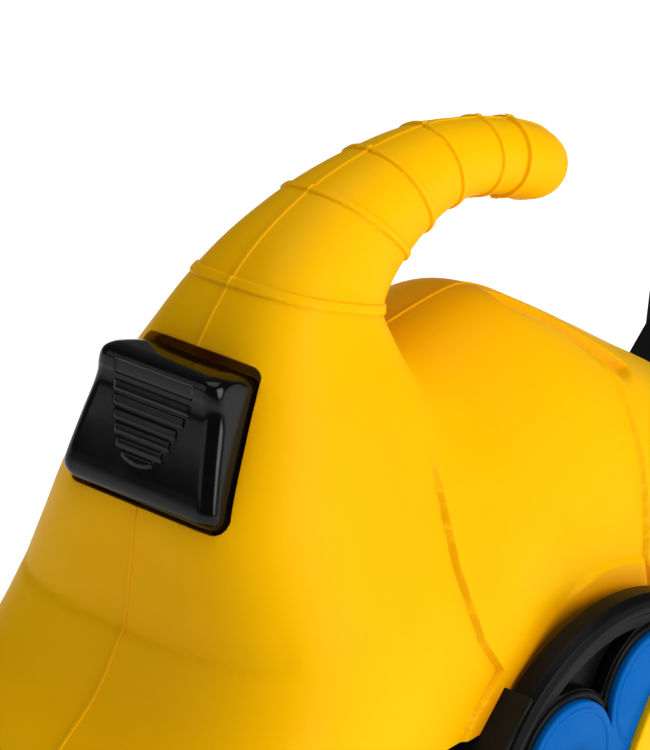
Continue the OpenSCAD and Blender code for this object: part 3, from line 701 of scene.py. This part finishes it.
for name, sign in (("right", -1), ("left", 1)):
    spin = name + "_wheel"
    floor_y = FACE_Y - 6
    parts = [turned(rounded(tyre, 0.6), 192, origin),
             slab([circle(60.2, 160), circle(5.1, 48)] + pockets, floor_y - 0.2, FACE_Y - 1.5, (WHEEL_X, WHEEL_Z), 0.5),
             turned(rounded([(5.05, BACK_Y + 2), (60.2, BACK_Y + 2), (60.2, floor_y), (5.05, floor_y)], 0.3), 128, origin),
             turned(rounded([(5.05, 58.8), (12.6, 58.8), (14, 60.5), (14, BACK_Y + 3), (5.05, BACK_Y + 3)], 0.6), 64, origin)]
    for a, b in DISC_AT:
        parts.append(turned(rounded([(21.9, FACE_Y - 2), (24.6, FACE_Y - 2), (24.2, FACE_Y - 0.8), (23.6, FACE_Y - 0.4),
                                     (22.2, FACE_Y - 0.4)], 0.4), 96, (WHEEL_X + a, 0, WHEEL_Z + b)))
    groups = [("tyre_and_disc", parts, tyre_black, ["wheel"], "wheel_black")]
    top = FACE_Y + 1.5
    hub = [slab([outline_from((0, 0), petals, 360, 70), circle(5.1, 48)], FACE_Y - 2.9, top, (WHEEL_X, WHEEL_Z), 0.8)]
    for a, b in DISC_AT:
        bead = [(17.6, top - 0.4), (18.2, top + 0.1, 0.3), (18.9, top + 0.45, 0.4), (19.6, top + 0.1, 0.3), (20, top - 0.4)]
        hub.append(turned(rounded(bead, 0.2), 96, (WHEEL_X + a, 0, WHEEL_Z + b)))
    groups.append(("hub", hub, blue, ["hub"], "blue_moulding"))
    cap = [slab([outline_from((0, 0), arm, 180, 60), circle(5.1, 48)], FACE_Y + 0.4, FACE_Y + 4.4, (WHEEL_X, WHEEL_Z), 0.9),
           turned(rounded([(0.02, FACE_Y + 4), (9, FACE_Y + 4), (8.2, FACE_Y + 4.5), (0.02, FACE_Y + 4.5)], 0.4), 64, origin)]
    groups.append(("hub_cap", cap, cap_yellow, ["hub_cap"], "yellow_moulding"))
    for label, pieces, material, cad, slot in groups:
        me = joined(label, *pieces)
        if sign < 0:
            co = coords(me)
            co[:, 1] *= -1
            set_coords(me, co)
            me.flip_normals()
        add(f"{name}_{label}", me, material, spin, [f"{name}_{c}" for c in cad], sharp=32)

# ---- Drum ----
# Blue double-cone drum, blow moulded, with raised hoops and a yellow ring on its mouth. It turns
# on a steel shaft through the yoke behind it; a yellow crank with a black knob turns it.
PIVOT = np.array([400.0, 0.0, 150.0])
LEAN = math.radians(48)
DRUM_AXIS = (math.sin(LEAN), 0, math.cos(LEAN))
DRUM_SIDE = (math.cos(LEAN), 0, -math.sin(LEAN))
drum = [(6, -50), (36, -50, 3), (59.3, -25.2, 5), (60.2, -22, 0.8), (61.8, -21, 0.8), (61.8, -17, 0.8), (60.6, -16, 0.8),
        (60.6, 5, 0.8), (61.8, 6, 0.8), (61.8, 10, 0.8), (60.2, 11.5, 0.8), (57, 18.6, 1), (57.2, 20.6, 0.6),
        (55.4, 23.4, 0.6), (53.6, 24.6, 1), (37, 56, 0.5), (34, 56, 0.5), (57, 13, 4), (58.6, 7, 3), (58.6, -17, 3),
        (57, -22, 3), (35, -46.8, 3), (6, -47)]
me = joined("drum", turned(rounded(drum, 0.5), 144, PIVOT, DRUM_AXIS, DRUM_SIDE))
add("drum_shell_moulding", me, blue, "drum", ["drum_shell"], sharp=30)
ring = [(33.2, 56.2, 0.6), (39.2, 56.2, 1), (40, 58, 1), (40, 61.6, 1.2), (38.2, 63.8, 1.2), (34.2, 63.8, 1.2), (33.2, 62.6, 0.8)]
me = joined("mouth", turned(rounded(ring, 0.8), 112, PIVOT, DRUM_AXIS, DRUM_SIDE))
add("drum_mouth_ring", me, cap_yellow, "drum", ["drum_mouth"], sharp=32)

# ---- Small front wheels ----
# Black moulded wheels with a ribbed tread groove and a dished face, free on a steel axle.
for name, sign in (("right", -1), ("left", 1)):
    y0, y1 = 67.5, 83.5
    tread = [(4.05, y0), (8.4, y0, 0.6), (9.4, y0 + 2.6, 0.8), (17.6, y0 + 3, 0.8), (19.2, y0, 0.8), (26.4, y0, 1), (28, y0 + 1.8, 1.2),
             (28, 74, 0.4), (26.8, 74.6, 0.3), (26.8, 76.4, 0.3), (28, 77, 0.4), (28, y1 - 1.8, 1.2), (26.4, y1, 1), (19.2, y1, 0.8),
             (17.6, y1 - 3, 0.8), (9.4, y1 - 2.6, 0.8), (8.4, y1, 0.6), (4.05, y1)]
    me = joined("front_wheel", turned(rounded(tread, 0.3), 112, (382, 0, 28)))
    if sign < 0:
        co = coords(me)
        co[:, 1] *= -1
        set_coords(me, co)
        me.flip_normals()
    add(f"{name}_small_wheel", me, tyre_black, f"{name}_front_wheel", [f"{name}_front_wheel"], sharp=32)

# ---- Black frame, chassis and yoke; nylon and steel running gear ----
# These stay as built, with their edges broken by a small radius as a mould or a tumbler leaves.
textured = plastic("textured_black", (0.010, 0.010, 0.011), 0.5, grain=0.05, deep=(0.008, 0.008, 0.009), wear=0.2, shine=0.2)
nylon = plastic("grey_nylon", (0.55, 0.56, 0.58), 0.45, grain=0.02, wear=0.3, soft=0.05)
rubber = plastic("foot_rubber", (0.03, 0.03, 0.032), 0.75, grain=0.05, wear=0.4)
steel = plastic("zinc_steel", (0.62, 0.63, 0.65), 0.3, grain=0.01, deep=(0.5, 0.51, 0.54), wear=0.2)
for n in steel.node_tree.nodes:
    if n.type == "BSDF_PRINCIPLED":
        n.inputs["Metallic"].default_value = 1.0
for node_name, material, width in (
        ("chassis", textured, 1.2), ("side_steps", textured, 0.8), ("lever_bearing", textured, 0.5),
        ("rod_guides", textured, 0.5), ("pull_fork", textured, 0.5), ("left_frame", textured, 1.0),
        ("right_frame", textured, 1.0), ("yoke", textured, 1.0), ("crank_knob", textured, 0.3),
        ("drum_blades", blue, 0.4), ("crank", cap_yellow, 0.6), ("lever_arm", nylon, 0.3), ("pull_rod", nylon, 0.3),
        ("left_tilt_gear", nylon, 0.3), ("right_tilt_gear", nylon, 0.3), ("axle_bushes", nylon, 0.3),
        ("shaft_bush", nylon, 0.3), ("shell_screws", steel, 0.3), ("chassis_screws", steel, 0.2),
        ("lever_pin", steel, 0.4), ("rod_spring", steel, 0), ("axle", steel, 0.6), ("frame_bolts", steel, 0.4),
        ("front_axle", steel, 0.6), ("trunnion_pins", steel, 0.5), ("drum_shaft", steel, 0.5), ("rear_feet", rubber, 1.0)):
    o = nodes[node_name]
    o.data.materials.clear()
    o.data.materials.append(material)
    if width:
        weld = o.modifiers.new("weld", "WELD")
        weld.merge_threshold = 0.00002
        bevel = o.modifiers.new("edge", "BEVEL")
        bevel.width = width * MM
        bevel.segments = 3
        bevel.limit_method = "ANGLE"
        bevel.angle_limit = math.radians(40)
        bevel.harden_normals = True

# ---- Floor, light and camera ----
floor = bpy.data.meshes.new("floor")
floor.from_pydata([(-6, -6, 0), (8, -6, 0), (8, 8, 0), (-6, 8, 0)], [], [(0, 1, 2, 3)])
floor = bpy.data.objects.new("floor", floor)
bpy.context.scene.collection.objects.link(floor)
paper = bpy.data.materials.new("paper")
paper.use_nodes = True
paper.node_tree.nodes["Principled BSDF"].inputs["Base Color"].default_value = (0.93, 0.93, 0.93, 1)
paper.node_tree.nodes["Principled BSDF"].inputs["Roughness"].default_value = 0.9
paper.node_tree.nodes["Principled BSDF"].inputs["Emission Color"].default_value = (1, 1, 1, 1)
paper.node_tree.nodes["Principled BSDF"].inputs["Emission Strength"].default_value = 0.5
floor.data.materials.append(paper)


def lamp(name, place, target, width, height, power):
    light = bpy.data.lights.new(name, "AREA")
    light.shape = "RECTANGLE"
    light.size, light.size_y = width, height
    light.energy = power
    o = bpy.data.objects.new(name, light)
    o.location = place
    o.rotation_euler = (Vector(target) - Vector(place)).to_track_quat("-Z", "Y").to_euler()
    bpy.context.scene.collection.objects.link(o)
    return o


lamp("key", (0.25, -1.9, 0.9), (-0.1, 0, 0.15), 1.4, 1.2, 24)
lamp("top", (0.1, -0.1, 2.0), (0, 0, 0), 1.6, 1.6, 14)
lamp("rear", (-1.9, 0.9, 1.0), (-0.1, 0, 0.15), 1.2, 1.2, 4)
world = bpy.data.worlds.new("studio")
world.use_nodes = True
world.node_tree.nodes["Background"].inputs["Color"].default_value = (1, 1, 1, 1)
world.node_tree.nodes["Background"].inputs["Strength"].default_value = 0.12
bpy.context.scene.world = world
bpy.context.scene.view_settings.view_transform = "Standard"
bpy.context.scene.view_settings.exposure = 0.22
bpy.context.scene.view_settings.gamma = 0.84

cam = bpy.data.cameras.new("camera")
cam.lens = 159.84
cam.sensor_width = 36
cam.clip_start, cam.clip_end = 0.05, 50
camera = bpy.data.objects.new("camera", cam)
camera.location = (-0.84684, -0.64533, 0.630)
camera.rotation_euler = Vector((0.68151, 0.61363, -0.39875)).to_track_quat("-Z", "Y").to_euler()
bpy.context.scene.collection.objects.link(camera)
bpy.context.scene.camera = camera
